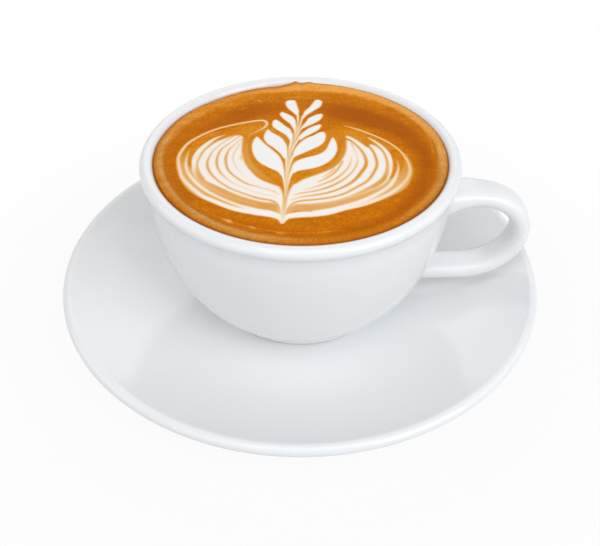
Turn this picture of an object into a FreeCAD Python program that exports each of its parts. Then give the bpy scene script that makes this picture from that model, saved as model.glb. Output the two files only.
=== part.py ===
"""A cappuccino in a low, wide porcelain cup, on its coupe saucer.

Frame: millimetres, +Z up, the table at z = 0, the cup's axis on Z, the handle towards +X.
Three pieces, each written to parts/NODE.step:
  saucer   porcelain, turned: a shallow dish on a foot ring, with a bead round its edge
  cup      porcelain, one piece: a turned bowl on a foot ring, its lip flared to a bead, and an ear handle
  coffee   the drink: it fills the bowl to the lip, and its foam stands a little proud
"""
import FreeCAD, Part
import math
import os

# Saucer
SAUCER_RADIUS = 77.5
SAUCER_HEIGHT = 19.0
SAUCER_FLOOR = 7.5            # height of the flat that the cup stands on
SAUCER_FLAT_RADIUS = 34.0     # where the flat turns up into the side
SAUCER_LIP = 1.9              # radius of the bead round the edge
SAUCER_LIP_SLOPE = 27.0       # slope at which the side meets the bead, in degrees
SAUCER_UNDER_SLOPE = 9.0      # slope at which the underside leaves the foot ring, in degrees
SAUCER_FOOT_RADIUS = 45.0     # outer radius of the foot ring
SAUCER_FOOT_WIDTH = 4.0
SAUCER_FOOT_HEIGHT = 2.6
SAUCER_RECESS = 2.0           # depth of the hollow inside the foot ring

# Cup, with heights measured from its own base
CUP_RADIUS = 48.0
CUP_HEIGHT = 54.4
CUP_WALL = 3.9
CUP_LIP = 2.05                # radius of the bead round the rim
CUP_LIP_UNDERCUT = 42.0       # how far below its widest point the bead runs out into the flare, in degrees
CUP_NECK_DROP = 8.6           # from the top of the rim down to where the lip starts to flare
CUP_NECK_IN = 1.6             # how far the neck lies inside the rim
CUP_NECK_SLOPE = 88.0         # slope of the wall at the neck, in degrees
CUP_BELLY_SLOPE = 37.0        # slope at which the body leaves the foot, in degrees
CUP_FLOOR = 5.0               # thickness of the bowl's floor
CUP_FLOOR_ROUND = 12.0        # radius between the bowl's floor and its side
CUP_FOOT_RADIUS = 28.0
CUP_FOOT_WIDTH = 3.6
CUP_FOOT_HEIGHT = 2.0
CUP_RECESS = 1.6              # depth of the hollow inside the foot ring

FOOT_ROUND = 0.6              # rounding of both foot rings

# Handle: its middle line leaves the wall, rises to a crest, turns at the waist and comes back along the sole
HANDLE_CREST_DROP = 15.0      # from the top of the rim down to the crest
HANDLE_CREST_OUT = 9.4        # from the wall out to the crest
HANDLE_CREST_FALL = 4.3       # from the crest down to the upper root
HANDLE_SOLE_RISE = 10.3       # from the cup's base up to the sole
HANDLE_SOLE_OUT = 8.3         # from the wall out to where the sole turns up
HANDLE_SOLE_FALL = 1.6        # from the sole down to the lower root
HANDLE_WAIST_DROP = 13.0      # from the crest down to the waist, the widest point
HANDLE_REACH = 26.8           # from the wall out to the waist
HANDLE_WIDTH = 11.0           # size across, along Y
HANDLE_THICKNESS = 6.1
HANDLE_SQUARENESS = 2.4       # exponent of the section's outline: 2 is an ellipse, more is squarer
HANDLE_SWELL_TOP = 4.4        # how much wider and thicker the handle is where its crest meets the wall
HANDLE_SWELL_LOW = 1.6        # the same where its sole does
HANDLE_SWELL_LENGTH = 14.0    # how far from the wall the swelling reaches
HANDLE_BURY = 9.0             # how far its middle line runs on past the wall's face before it is cut off
HANDLE_SECTIONS = 29
ROOT_FILLET = 1.8             # rounding of the seam between the handle and the wall

# Coffee
COFFEE_EDGE_DROP = 1.3        # from the top of the rim down to where the foam meets the porcelain
COFFEE_EDGE_SLOPE = 62.0      # slope of the foam there, in degrees
COFFEE_EDGE_RISE = 1.15       # height of the foam's rounded edge
COFFEE_EDGE_WIDTH = 3.4
COFFEE_CROWN = 0.6            # how much higher the middle stands than the inner end of the rounded edge

POINTS_PER_ARC = 6            # points that carry a smooth outline along each of its arcs


def at(radius, height):
    """A point of a turned outline."""
    return FreeCAD.Vector(radius, 0, height)


def direction(degrees):
    """A unit step in the plane of an outline: 0 is outwards and 90 is up."""
    angle = math.radians(degrees)
    return FreeCAD.Vector(math.cos(angle), 0, math.sin(angle))


class Arc:
    """An arc from start, leaving it along heading, to end. It keeps its centre, so that it can be inset."""

    def __init__(self, start, heading, end):
        self.start, self.end = start, end
        normal = FreeCAD.Vector(-heading.z, 0, heading.x)
        chord = end - start
        self.centre = start + normal * (chord.dot(chord) / (2 * normal.dot(chord)))
        self.radius = (start - self.centre).Length

    def along(self, share):
        """The point at a share of the way from start to end."""
        first, last = self.start - self.centre, self.end - self.centre
        spread = first.getAngle(last)
        blend = first * math.sin((1 - share) * spread) + last * math.sin(share * spread)
        return self.centre + blend * (1 / math.sin(spread))

    def inset(self, distance):
        """The same arc, moved towards its centre."""
        share = 1 - distance / self.radius
        moved = Arc.__new__(Arc)
        moved.centre, moved.radius = self.centre, self.radius * share
        moved.start = self.centre + (self.start - self.centre) * share
        moved.end = self.centre + (self.end - self.centre) * share
        return moved

    def radius_at(self, height):
        """The outline's radius at a height, on the side away from the axis."""
        return self.centre.x + math.sqrt(self.radius ** 2 - (height - self.centre.z) ** 2)


def two_arcs(start, start_slope, end, end_slope):
    """Two arcs from start to end, tangent to each other where they meet, with the slopes in degrees."""
    leave, arrive = direction(start_slope), direction(end_slope)
    chord = end - start
    both = leave + arrive
    share = 2 * (1 - leave.dot(arrive))
    reach = (math.sqrt(chord.dot(both) ** 2 + share * chord.dot(chord)) - chord.dot(both)) / share
    meet = (start + end + (leave - arrive) * reach) * 0.5
    second = Arc(end, arrive * -1, meet)
    second.start, second.end = meet, end
    return [Arc(start, leave, meet), second]


def smooth(arcs, start_slope, end_slope):
    """One smooth edge through a run of tangent arcs."""
    points = [arcs[0].start]
    for arc in arcs:
        points += [arc.along(k / POINTS_PER_ARC) for k in range(1, POINTS_PER_ARC + 1)]
    curve = Part.BSplineCurve()
    curve.interpolate(points, InitialTangent=direction(start_slope), FinalTangent=direction(end_slope))
    return curve.toShape()


def line(start, end):
    return Part.LineSegment(start, end).toShape()


def bead(centre, radius, first, last):
    """An arc of a bead or a rounded corner, between two bearings from its centre, in degrees."""
    points = [centre + direction(bearing) * radius for bearing in (first, (first + last) / 2, last)]
    return Part.Arc(*points).toBSpline().toShape()


def turned(edges):
    """The solid that a closed outline makes when it is turned round the axis. Its seam faces -X."""
    solid = Part.Face(Part.Wire(edges)).revolve(at(0, 0), FreeCAD.Vector(0, 0, 1), 360)
    solid.rotate(at(0, 0), FreeCAD.Vector(0, 0, 1), 180)
    return solid


def foot_ring(radius, width, height, recess):
    """The edges of an underside, from the axis out to the top of its foot ring."""
    inner = radius - width
    return [
        line(at(0, recess), at(inner, recess)),
        line(at(inner, recess), at(inner, FOOT_ROUND)),
        bead(at(inner + FOOT_ROUND, FOOT_ROUND), FOOT_ROUND, 180, 270),
        line(at(inner + FOOT_ROUND, 0), at(radius - FOOT_ROUND, 0)),
        bead(at(radius - FOOT_ROUND, FOOT_ROUND), FOOT_ROUND, -90, 0),
        line(at(radius, FOOT_ROUND), at(radius, height)),
    ]


def saucer():
    lip = at(SAUCER_RADIUS - SAUCER_LIP, SAUCER_HEIGHT - SAUCER_LIP)
    upper = lip + direction(SAUCER_LIP_SLOPE + 90) * SAUCER_LIP
    lower = lip + direction(SAUCER_LIP_SLOPE - 90) * SAUCER_LIP
    foot_top = at(SAUCER_FOOT_RADIUS, SAUCER_FOOT_HEIGHT)
    turn_up = at(SAUCER_FLAT_RADIUS, SAUCER_FLOOR)
    under = two_arcs(foot_top, SAUCER_UNDER_SLOPE, lower, SAUCER_LIP_SLOPE)
    side = two_arcs(turn_up, 0, upper, SAUCER_LIP_SLOPE)
    return turned(foot_ring(SAUCER_FOOT_RADIUS, SAUCER_FOOT_WIDTH, SAUCER_FOOT_HEIGHT, SAUCER_RECESS) + [
        smooth(under, SAUCER_UNDER_SLOPE, SAUCER_LIP_SLOPE),
        bead(lip, SAUCER_LIP, SAUCER_LIP_SLOPE - 90, SAUCER_LIP_SLOPE + 90),
        smooth(side, 0, SAUCER_LIP_SLOPE),
        line(turn_up, at(0, SAUCER_FLOOR)),
        line(at(0, SAUCER_FLOOR), at(0, SAUCER_RECESS)),
    ])


class Bowl:
    """The outlines that the cup, its handle and the drink share."""

    def __init__(self):
        self.foot_top = at(CUP_FOOT_RADIUS, CUP_FOOT_HEIGHT)
        self.neck = at(CUP_RADIUS - CUP_NECK_IN, CUP_HEIGHT - CUP_NECK_DROP)
        self.lip = at(CUP_RADIUS - CUP_LIP, CUP_HEIGHT - CUP_LIP)
        self.mouth = self.lip - at(CUP_LIP, 0)
        self.body = two_arcs(self.foot_top, CUP_BELLY_SLOPE, self.neck, CUP_NECK_SLOPE)
        self.floor = CUP_RECESS + CUP_FLOOR
        self.side = [arc.inset(CUP_WALL) for arc in self.body]
        self.flare = two_arcs(self.side[1].end, CUP_NECK_SLOPE, self.mouth, 90)
        belly = self.side[0]
        round_height = self.floor + CUP_FLOOR_ROUND
        reach = belly.radius - CUP_FLOOR_ROUND
        out = math.sqrt(reach ** 2 - (round_height - belly.centre.z) ** 2)
        self.round_centre = belly.centre + at(out, round_height - belly.centre.z)
        outwards = (self.round_centre - belly.centre).normalize()
        self.round_bearing = math.degrees(math.atan2(outwards.z, outwards.x))
        belly.start = self.round_centre + outwards * CUP_FLOOR_ROUND

    def cavity_edges(self):
        """The inside's outline, from the axis up to the mouth, the narrowest place of the lip."""
        floor_end = self.round_centre - at(0, CUP_FLOOR_ROUND)
        return [
            line(at(0, self.floor), floor_end),
            bead(self.round_centre, CUP_FLOOR_ROUND, -90, self.round_bearing),
            smooth(self.side, self.round_bearing + 90, CUP_NECK_SLOPE),
            smooth(self.flare, CUP_NECK_SLOPE, 90),
        ]

    def outer_radius(self, height):
        lower, upper = self.body
        return (lower if height < lower.end.z else upper).radius_at(height)

    def core(self):
        """A solid bounded by the middle of the wall, between the foot and the neck."""
        middle = [arc.inset(CUP_WALL / 2) for arc in self.body]
        low, high = middle[0].start, middle[1].end
        return turned([
            line(at(0, low.z), low),
            smooth(middle, CUP_BELLY_SLOPE, CUP_NECK_SLOPE),
            line(high, at(0, high.z)),
            line(at(0, high.z), at(0, low.z)),
        ])


def quarter(corner, radius_out, radius_up, bearings):
    """Points of a quarter of an ellipse that stands upright in the plane of the handle."""
    steps = [direction(bearing) for bearing in bearings]
    return [corner + at(radius_out * step.x, radius_up * step.z) for step in steps]


def handle_line(bowl):
    """The handle's middle line, from the upper root to the lower one, both inside the wall."""
    crest, sole = CUP_HEIGHT - HANDLE_CREST_DROP, HANDLE_SOLE_RISE
    waist = crest - HANDLE_WAIST_DROP
    root_top, root_low = crest - HANDLE_CREST_FALL, sole - HANDLE_SOLE_FALL
    crest_out = bowl.outer_radius(root_top) + HANDLE_CREST_OUT
    waist_out = bowl.outer_radius(waist) + HANDLE_REACH
    sole_out = bowl.outer_radius(waist) + HANDLE_SOLE_OUT
    upper = quarter(at(crest_out, waist), waist_out - crest_out, crest - waist, (90, 60, 30, 0))
    lower = quarter(at(sole_out, waist), waist_out - sole_out, waist - sole, (-30, -60, -90))
    route = Part.BSplineCurve()
    route.interpolate([at(bowl.outer_radius(root_top) - HANDLE_BURY, root_top)] + upper + lower
                      + [at(bowl.outer_radius(root_low) - HANDLE_BURY, root_low)])
    return route


def handle_section(centre, heading, width, thickness):
    """One closed outline of the handle, square to its middle line."""
    across = FreeCAD.Vector(0, 1, 0)
    outwards = heading.cross(across)
    points = []
    for k in range(16):
        angle = 2 * math.pi * k / 16
        c, s = math.cos(angle), math.sin(angle)
        size = (abs(c) ** HANDLE_SQUARENESS + abs(s) ** HANDLE_SQUARENESS) ** (-1 / HANDLE_SQUARENESS)
        points.append(centre + across * (width / 2 * c * size) + outwards * (thickness / 2 * s * size))
    outline = Part.BSplineCurve()
    outline.interpolate(points, PeriodicFlag=True)
    return Part.Wire([outline.toShape()])


def root_swell(from_end, most):
    """How much the handle has thickened at a distance from one end of its middle line."""
    from_wall = max(0, from_end - HANDLE_BURY)
    return most * max(0, 1 - from_wall / HANDLE_SWELL_LENGTH) ** 2


def handle(bowl):
    """The handle, with its roots cut off at the middle of the wall."""
    route = handle_line(bowl)
    length = route.length()
    sections = []
    for k in range(HANDLE_SECTIONS):
        along = length * k / (HANDLE_SECTIONS - 1)
        place = route.parameterAtDistance(along)
        heading = FreeCAD.Vector(*route.tangent(place)[0]).normalize()
        swell = root_swell(along, HANDLE_SWELL_TOP) + root_swell(length - along, HANDLE_SWELL_LOW)
        sections.append(handle_section(route.value(place), heading, HANDLE_WIDTH + swell,
                                       HANDLE_THICKNESS + swell))
    return Part.makeLoft(sections, True, False).cut(bowl.core())


def on_wall(edge, bowl):
    """True for an edge that runs over the outside of the wall without going round the cup."""
    if isinstance(edge.Curve, (Part.Circle, Part.Line)):
        return False
    for share in (0.2, 0.5, 0.8):
        point = edge.valueAt(edge.FirstParameter + (edge.LastParameter - edge.FirstParameter) * share)
        if not CUP_FOOT_HEIGHT < point.z < bowl.neck.z or point.x < 0:
            return False
        if abs(math.hypot(point.x, point.y) - bowl.outer_radius(point.z)) > 0.05:
            return False
    return True


def cup():
    bowl = Bowl()
    flare_end = bowl.lip + direction(-CUP_LIP_UNDERCUT) * CUP_LIP
    flare_slope = 90 - CUP_LIP_UNDERCUT
    flare = two_arcs(bowl.neck, CUP_NECK_SLOPE, flare_end, flare_slope)
    body = turned(foot_ring(CUP_FOOT_RADIUS, CUP_FOOT_WIDTH, CUP_FOOT_HEIGHT, CUP_RECESS) + [
        smooth(bowl.body, CUP_BELLY_SLOPE, CUP_NECK_SLOPE),
        smooth(flare, CUP_NECK_SLOPE, flare_slope),
        bead(bowl.lip, CUP_LIP, -CUP_LIP_UNDERCUT, 180),
    ] + bowl.cavity_edges()[::-1] + [
        line(at(0, bowl.floor), at(0, CUP_RECESS)),
    ])
    joined = body.fuse(handle(bowl))
    seam = [edge for edge in joined.Edges if on_wall(edge, bowl)]
    return joined.makeFillet(ROOT_FILLET, seam).Solids[0]


def coffee():
    bowl = Bowl()
    contact_bearing = 180 - math.degrees(math.asin((CUP_LIP - COFFEE_EDGE_DROP) / CUP_LIP))
    contact = bowl.lip + direction(contact_bearing) * CUP_LIP
    shoulder = contact + at(-COFFEE_EDGE_WIDTH, COFFEE_EDGE_RISE)
    middle = at(0, shoulder.z + COFFEE_CROWN)
    crown = Arc(middle, direction(0), shoulder)
    edge_slope = 180 - COFFEE_EDGE_SLOPE
    crown_slope = 180 - 2 * math.degrees(math.atan(COFFEE_CROWN / shoulder.x))
    return turned(bowl.cavity_edges() + [
        bead(bowl.lip, CUP_LIP, 180, contact_bearing),
        smooth(two_arcs(contact, edge_slope, shoulder, crown_slope), edge_slope, crown_slope),
        Part.Arc(shoulder, crown.along(0.5), middle).toShape(),
        line(middle, at(0, bowl.floor)),
    ])


def on_saucer(shape):
    """A piece made with the cup's base at z = 0, lifted onto the saucer's flat."""
    return shape.translated(at(0, SAUCER_FLOOR))


os.makedirs("parts", exist_ok=True)
saucer().exportStep("parts/saucer.step")
on_saucer(cup()).exportStep("parts/cup.step")
on_saucer(coffee()).exportStep("parts/coffee.step")
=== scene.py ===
import math

import bmesh
import bpy
import numpy as np
from mathutils import Matrix, Vector


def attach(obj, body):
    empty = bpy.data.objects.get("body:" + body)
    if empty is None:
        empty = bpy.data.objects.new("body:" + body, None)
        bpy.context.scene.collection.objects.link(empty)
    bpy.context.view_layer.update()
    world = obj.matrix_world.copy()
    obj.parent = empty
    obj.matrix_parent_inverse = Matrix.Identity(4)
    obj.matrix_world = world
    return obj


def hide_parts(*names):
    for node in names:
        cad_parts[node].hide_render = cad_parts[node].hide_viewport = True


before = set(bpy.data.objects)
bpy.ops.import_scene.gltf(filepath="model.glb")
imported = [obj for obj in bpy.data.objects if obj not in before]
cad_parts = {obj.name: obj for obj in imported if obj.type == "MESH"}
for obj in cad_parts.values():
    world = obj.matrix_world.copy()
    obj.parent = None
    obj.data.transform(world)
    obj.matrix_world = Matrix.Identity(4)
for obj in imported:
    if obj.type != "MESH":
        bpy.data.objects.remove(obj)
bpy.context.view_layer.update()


# ---- Saucer ---------------------------------------------------------------------------------
# A round coupe saucer of white porcelain. It is pressed on a turning mould, dipped in clear
# glaze, and wiped clean on the ring it stands on, where the fired clay shows dull and warm.

class Socket:
    """An output socket of a node tree. Arithmetic on it adds Math nodes."""

    def __init__(self, tree, output):
        self.tree = tree
        self.output = output

    def math(self, operation, *values):
        sockets = dict(enumerate(values))
        return self.tree.add("ShaderNodeMath", {"operation": operation}, sockets)

    def __add__(self, other):
        return self.math("ADD", self, other)

    def __radd__(self, other):
        return self.math("ADD", other, self)

    def __sub__(self, other):
        return self.math("SUBTRACT", self, other)

    def __rsub__(self, other):
        return self.math("SUBTRACT", other, self)

    def __mul__(self, other):
        return self.math("MULTIPLY", self, other)

    def __rmul__(self, other):
        return self.math("MULTIPLY", other, self)

    def vector(self, x, y, z):
        """A vector of this length along each axis, times x, y and z."""
        sockets = {"X": x * self, "Y": y * self, "Z": z * self}
        return self.tree.add("ShaderNodeCombineXYZ", {}, sockets)

    def step(self, start, end):
        """0 below start, 1 above end, and a smooth rise between them."""
        values = {"Value": self, "From Min": start, "From Max": end}
        return self.tree.add("ShaderNodeMapRange", {"interpolation_type": "SMOOTHSTEP"}, values)


class Nodes:
    """A node tree, emptied, that nodes are added to one at a time."""

    def __init__(self, tree):
        self.tree = tree
        tree.nodes.clear()

    def add(self, kind, settings, sockets, output=0):
        """Adds a node: first its settings, then the value or the link of each input socket."""
        node = self.tree.nodes.new(kind)
        for name, value in settings.items():
            if name == "stops":
                while len(node.color_ramp.elements) < len(value):
                    node.color_ramp.elements.new(1.0)
                for element, (place, colour) in zip(node.color_ramp.elements, value):
                    element.position = place
                    element.color = (*colour, 1.0)
            else:
                setattr(node, name, value)
        for name, value in sockets.items():
            if isinstance(value, Socket):
                self.tree.links.new(value.output, node.inputs[name])
            else:
                node.inputs[name].default_value = value
        return Socket(self, node.outputs[output] if node.outputs else None)


class Shader(Nodes):
    """The node tree of one new material."""

    def __init__(self, name):
        self.material = bpy.data.materials.new(name)
        self.material.use_nodes = True
        super().__init__(self.material.node_tree)

    def place(self):
        return self.add("ShaderNodeTexCoord", {}, {}, "Object")

    def painted(self, name):
        """A value that is painted on the mesh, vertex by vertex."""
        return self.add("ShaderNodeAttribute", {"attribute_name": name}, {}, "Fac")

    def noise(self, place, per_metre, detail=3.0, roughness=0.5):
        sockets = {"Vector": place, "Scale": per_metre, "Detail": detail, "Roughness": roughness}
        return self.add("ShaderNodeTexNoise", {}, sockets)

    def blend(self, amount, first, second):
        """A colour between two colours."""
        sockets = {0: amount, 6: first, 7: second}
        return self.add("ShaderNodeMix", {"data_type": "RGBA"}, sockets, 2)

    def finish(self, surface):
        self.add("ShaderNodeOutputMaterial", {}, {"Surface": surface})
        return self.material


def tone(red, green, blue):
    """A display colour, 0 to 255, as the light that a surface of that colour sends back."""
    parts = [value / 255 for value in (red, green, blue)]
    return tuple(p / 12.92 if p <= 0.04045 else ((p + 0.055) / 1.055) ** 2.4 for p in parts)


GLAZE = tone(238, 239, 240)
GLAZE_CLOUD = 0.985                  # the glaze at its darkest, as a share of its colour
BARE_CLAY = tone(214, 205, 192)
CLAY_GRAIN = 0.86                    # and the same for the clay
BARE_FROM, BARE_TO = 0.0003, 0.0004  # metres above the foot where the wiped ring ends
GLAZE_IOR = 1.52


def porcelain(name, foot):
    """White glaze down to just above the foot, the height in metres of the ring it stands on."""
    shader = Shader(name)
    place = shader.place()
    height = shader.add("ShaderNodeSeparateXYZ", {}, {"Vector": place}, "Z")
    ring_edge = height + 0.0002 * shader.noise(place, 300.0)
    bare = 1.0 - ring_edge.step(foot + BARE_FROM, foot + BARE_TO)
    cloud = shader.noise(place, 22.0, 2.0)
    glazed = shader.blend(cloud, (*(GLAZE_CLOUD * part for part in GLAZE), 1.0), (*GLAZE, 1.0))
    grit = shader.noise(place, 2500.0, 4.0, 0.7)
    clay = shader.blend(
        grit, (*(CLAY_GRAIN * part for part in BARE_CLAY), 1.0), (*BARE_CLAY, 1.0))
    colour = shader.blend(bare, glazed, clay)
    roughness = 0.09 + 0.05 * shader.noise(place, 60.0) + 0.5 * bare
    wave = shader.noise(place, 110.0, 1.0)
    relief = 0.00002 * wave + 0.00004 * grit * bare
    normal = shader.add("ShaderNodeBump", {}, {"Height": relief, "Strength": 0.6, "Distance": 1.0})
    surface = shader.add("ShaderNodeBsdfPrincipled", {}, {
        "Base Color": colour, "Roughness": roughness, "Normal": normal, "IOR": GLAZE_IOR})
    return shader.finish(surface)


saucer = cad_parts["saucer"]
saucer_glaze = porcelain("saucer_porcelain", 0.0)
for slot in saucer.material_slots:
    slot.material = saucer_glaze


# ---- Cup ------------------------------------------------------------------------------------
# A wide, low cup of the same porcelain, cast in a plaster mould with its ear handle stuck on
# while the clay is damp. It stands on the flat middle of the saucer with a bare ring of its own.

SAUCER_MIDDLE = 0.0075               # height in metres of the flat that the cup stands on
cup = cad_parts["cup"]
cup_glaze = porcelain("cup_porcelain", SAUCER_MIDDLE)
for slot in cup.material_slots:
    slot.material = cup_glaze


# ---- Coffee ---------------------------------------------------------------------------------
# Espresso and steamed milk, with fine foam on top. The milk is poured to and fro under the brown
# crema, which folds it into two fans of bands, and a last stroke through them draws the leaf.

FOAM_MIDDLE = 62.35          # heights and radii of the drink in millimetres
SHOULDER_RADIUS, SHOULDER_HEIGHT = 40.64, 61.75
EDGE_RADIUS, EDGE_HEIGHT = 44.04, 60.6
MOUTH_RADIUS, MOUTH_HEIGHT, LIP = 43.9, 59.85, 2.05
SINK_FROM = 36.0             # radius from which the foam sinks towards its lower edge
FINE_STEP, FINE_REACH = 0.26, 37.6
EDGE_RINGS, EDGE_COUNT = 20, 700
WALL_RINGS, WALL_COUNT = 24, 160
WALL_GAP, FLOOR_GAP = 0.15, 0.1
WALL_TOP = 2.0               # how far below the foam's edge the wall's first ring lies


def smooth(value, start, end):
    t = np.clip((value - start) / (end - start), 0.0, 1.0)
    return t * t * (3.0 - 2.0 * t)


def smooth_run(points, closed=False, steps=7):
    """Places on a smooth curve through the points. Every column is carried along."""
    p = np.array(points, float)
    if closed:
        before, after, later = np.roll(p, 1, 0), np.roll(p, -1, 0), np.roll(p, -2, 0)
        start = p
    else:
        ends = np.vstack([2 * p[0] - p[1], p, 2 * p[-1] - p[-2]])
        before, start, after, later = ends[:-3], ends[1:-2], ends[2:-1], ends[3:]
    t = (np.arange(steps) / steps)[:, None, None]
    run = start + 0.5 * t * (after - before)
    run = run + 0.5 * t ** 2 * (2 * before - 5 * start + 4 * after - later)
    run = run + 0.5 * t ** 3 * (3 * start - before - 3 * after + later)
    run = run.transpose(1, 0, 2).reshape(-1, p.shape[1])
    return np.vstack([run, run[:1] if closed else p[-1:]])


def nearest(run, spots):
    """Each spot's distance from the run, and the run's further columns at the nearest place."""
    distance = np.full(len(spots), 1e9)
    carried = np.zeros((len(spots), run.shape[1] - 2))
    for a, b in zip(run[:-1], run[1:]):
        along = b[:2] - a[:2]
        t = np.clip((spots - a[:2]) @ along / max(along @ along, 1e-12), 0.0, 1.0)
        gap = np.hypot(*(spots - a[:2] - t[:, None] * along).T)
        closer = gap < distance
        distance[closer] = gap[closer]
        carried[closer] = (a[2:] + t[:, None] * (b[2:] - a[2:]))[closer]
    return distance, carried


class Paint:
    """One painted value, such as the share of milk, at each spot of the foam's surface."""

    def __init__(self, spots, value):
        self.spots = spots
        self.value = np.full(len(spots), float(value))

    def reach(self, run, margin):
        low, high = run[:, :2].min(0) - margin, run[:, :2].max(0) + margin
        return np.where(((self.spots > low) & (self.spots < high)).all(1))[0]

    def lay(self, spots, cover, value):
        self.value[spots] += cover * (value - self.value[spots])

    def stroke(self, points, soft, closed=False):
        """A line through points of x, y, half its width, and its value there."""
        run = smooth_run(points, closed)
        spots = self.reach(run, run[:, 2].max() + soft)
        distance, carried = nearest(run, self.spots[spots])
        edge = carried[:, 0] - distance
        self.lay(spots, smooth(edge, -0.5 * soft, 0.5 * soft), carried[:, 1])

    def patch(self, outline, value, soft):
        """The inside of a closed smooth outline."""
        run = smooth_run(outline, True)
        spots = self.reach(run, soft)
        distance, _ = nearest(run, self.spots[spots])
        x, y = self.spots[spots].T
        inside = np.zeros(len(spots), bool)
        for (ax, ay), (bx, by) in zip(run[:-1], run[1:]):
            crosses = (ay > y) != (by > y)
            level = by - ay if by != ay else 1e-12
            inside ^= crosses & (x < ax + (y - ay) * (bx - ax) / level)
        edge = np.where(inside, distance, -distance)
        self.lay(spots, smooth(edge, -0.5 * soft, 0.5 * soft), value)


# The surface is rings of vertices, fine over the leaf and coarser towards the wall.
radii = [0.0]
counts = [1]
ring_step = FINE_STEP * math.sqrt(0.75)
while radii[-1] + ring_step < FINE_REACH:
    radii.append(radii[-1] + ring_step)
    counts.append(round(2 * math.pi * radii[-1] / FINE_STEP))
edge_radii = np.linspace(radii[-1], EDGE_RADIUS, EDGE_RINGS + 1)[1:]
radii += list(edge_radii)
counts += [EDGE_COUNT] * EDGE_RINGS
ring = np.repeat(np.arange(len(radii)), counts)
ring_radius = np.array(radii)[ring]
place_in_ring = np.concatenate([np.arange(count) for count in counts])
angle = 2 * math.pi * (place_in_ring + 0.5 * (ring % 2)) / np.array(counts)[ring]
radius = ring_radius

# The foam stands lower against the wall at the far left, with a wavy edge, and two bumps of
# froth stand beside it. Angles are in degrees from the handle, against the clock from above.
SINK, WAVE, WAVES_ROUND = 0.95, 0.12, 9
turn = np.degrees(angle)
drop = SINK * smooth(turn, 93, 101) * (1 - smooth(turn, 118, 185))
wave = WAVE * np.sin(np.radians(turn * WAVES_ROUND))
drop += wave * smooth(turn, 95, 110) * (1 - smooth(turn, 150, 180))
bumps = ((0.45, 92.6, 1.3), (0.3, 86.2, 1.6))        # height, angle and spread
drop -= sum(high * np.exp(-((turn - at) / spread) ** 2) for high, at, spread in bumps)
contact_height = EDGE_HEIGHT - drop
above_mouth = np.clip(contact_height - MOUTH_HEIGHT, 0.0, LIP)
contact_radius = MOUTH_RADIUS + LIP - np.sqrt(LIP ** 2 - above_mouth ** 2)
outward = smooth(radius, SINK_FROM, EDGE_RADIUS)
crown = FOAM_MIDDLE - SHOULDER_HEIGHT
edge_part = np.clip((radius - SHOULDER_RADIUS) / (EDGE_RADIUS - SHOULDER_RADIUS), 0.0, 1.0)
edge_slope = 2 * crown / SHOULDER_RADIUS
edge_fall = SHOULDER_HEIGHT - EDGE_HEIGHT - edge_slope * (EDGE_RADIUS - SHOULDER_RADIUS)
height = FOAM_MIDDLE - crown * (np.minimum(radius, SHOULDER_RADIUS) / SHOULDER_RADIUS) ** 2
height -= edge_slope * np.maximum(radius - SHOULDER_RADIUS, 0.0)
height -= edge_fall * (0.55 * edge_part ** 2 + 0.45 * edge_part ** 10)
height -= drop * outward
radius = radius + (contact_radius - EDGE_RADIUS) * outward
top = np.stack([radius * np.cos(angle), radius * np.sin(angle), height], 1)

# Below the edge the drink fills the bowl, so its rings follow the drink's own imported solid.
solid = np.array([vertex.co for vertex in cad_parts["coffee"].data.vertices]) * 1000
solid = np.stack([np.hypot(solid[:, 0], solid[:, 1]), solid[:, 2]], 1)
solid = solid[solid[:, 1] < EDGE_HEIGHT - 1.2]
solid = solid[np.argsort(solid[:, 1])]
base = solid[0, 1]
depths = base + (EDGE_HEIGHT - WALL_TOP - base) * np.linspace(1.0, 0.0, WALL_RINGS) ** 1.6
wall = np.interp(depths, solid[:, 1], solid[:, 0]) - WALL_GAP
wall_turn = 2 * math.pi * np.arange(WALL_COUNT) / WALL_COUNT
below = [
    np.stack(
        [r * np.cos(wall_turn), r * np.sin(wall_turn), np.full(WALL_COUNT, z + FLOOR_GAP)], 1)
    for r, z in zip(wall, depths)
]
points = np.vstack([top, *below, [[0.0, 0.0, base + FLOOR_GAP]]])

starts = np.concatenate([[0], np.cumsum(counts)])
rings = [np.arange(a, b) for a, b in zip(starts[:-1], starts[1:])]
first = starts[-1]
for n in range(WALL_RINGS):
    rings.append(np.arange(first + n * WALL_COUNT, first + (n + 1) * WALL_COUNT))
rings.append(np.array([len(points) - 1]))

# Triangles between each ring and the next, which may have another number of vertices.
faces = []
for inner, outer in zip(rings[:-1], rings[1:]):
    i = j = 0
    while (i < len(inner) and len(inner) > 1) or (j < len(outer) and len(outer) > 1):
        last_inner = i >= len(inner) or len(inner) == 1
        outer_next = last_inner or (j + 1) * len(inner) <= (i + 1) * len(outer)
        if len(outer) > 1 and j < len(outer) and outer_next:
            faces.append((inner[i % len(inner)], outer[j], outer[(j + 1) % len(outer)]))
            j += 1
        else:
            faces.append((inner[i], outer[j % len(outer)], inner[(i + 1) % len(inner)]))
            i += 1

# The milk. Each line is points of x, y, half its width, and how white it is, in millimetres.
milk = Paint(points[:, :2], 0.0)


def pressed(line):
    """The same line, browner where it is pale. It stays paler than the bed that it ends in."""
    return [(x, y, half, min(white, max(0.34, 1.45 * white - 0.45))) for x, y, half, white in line]


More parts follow.
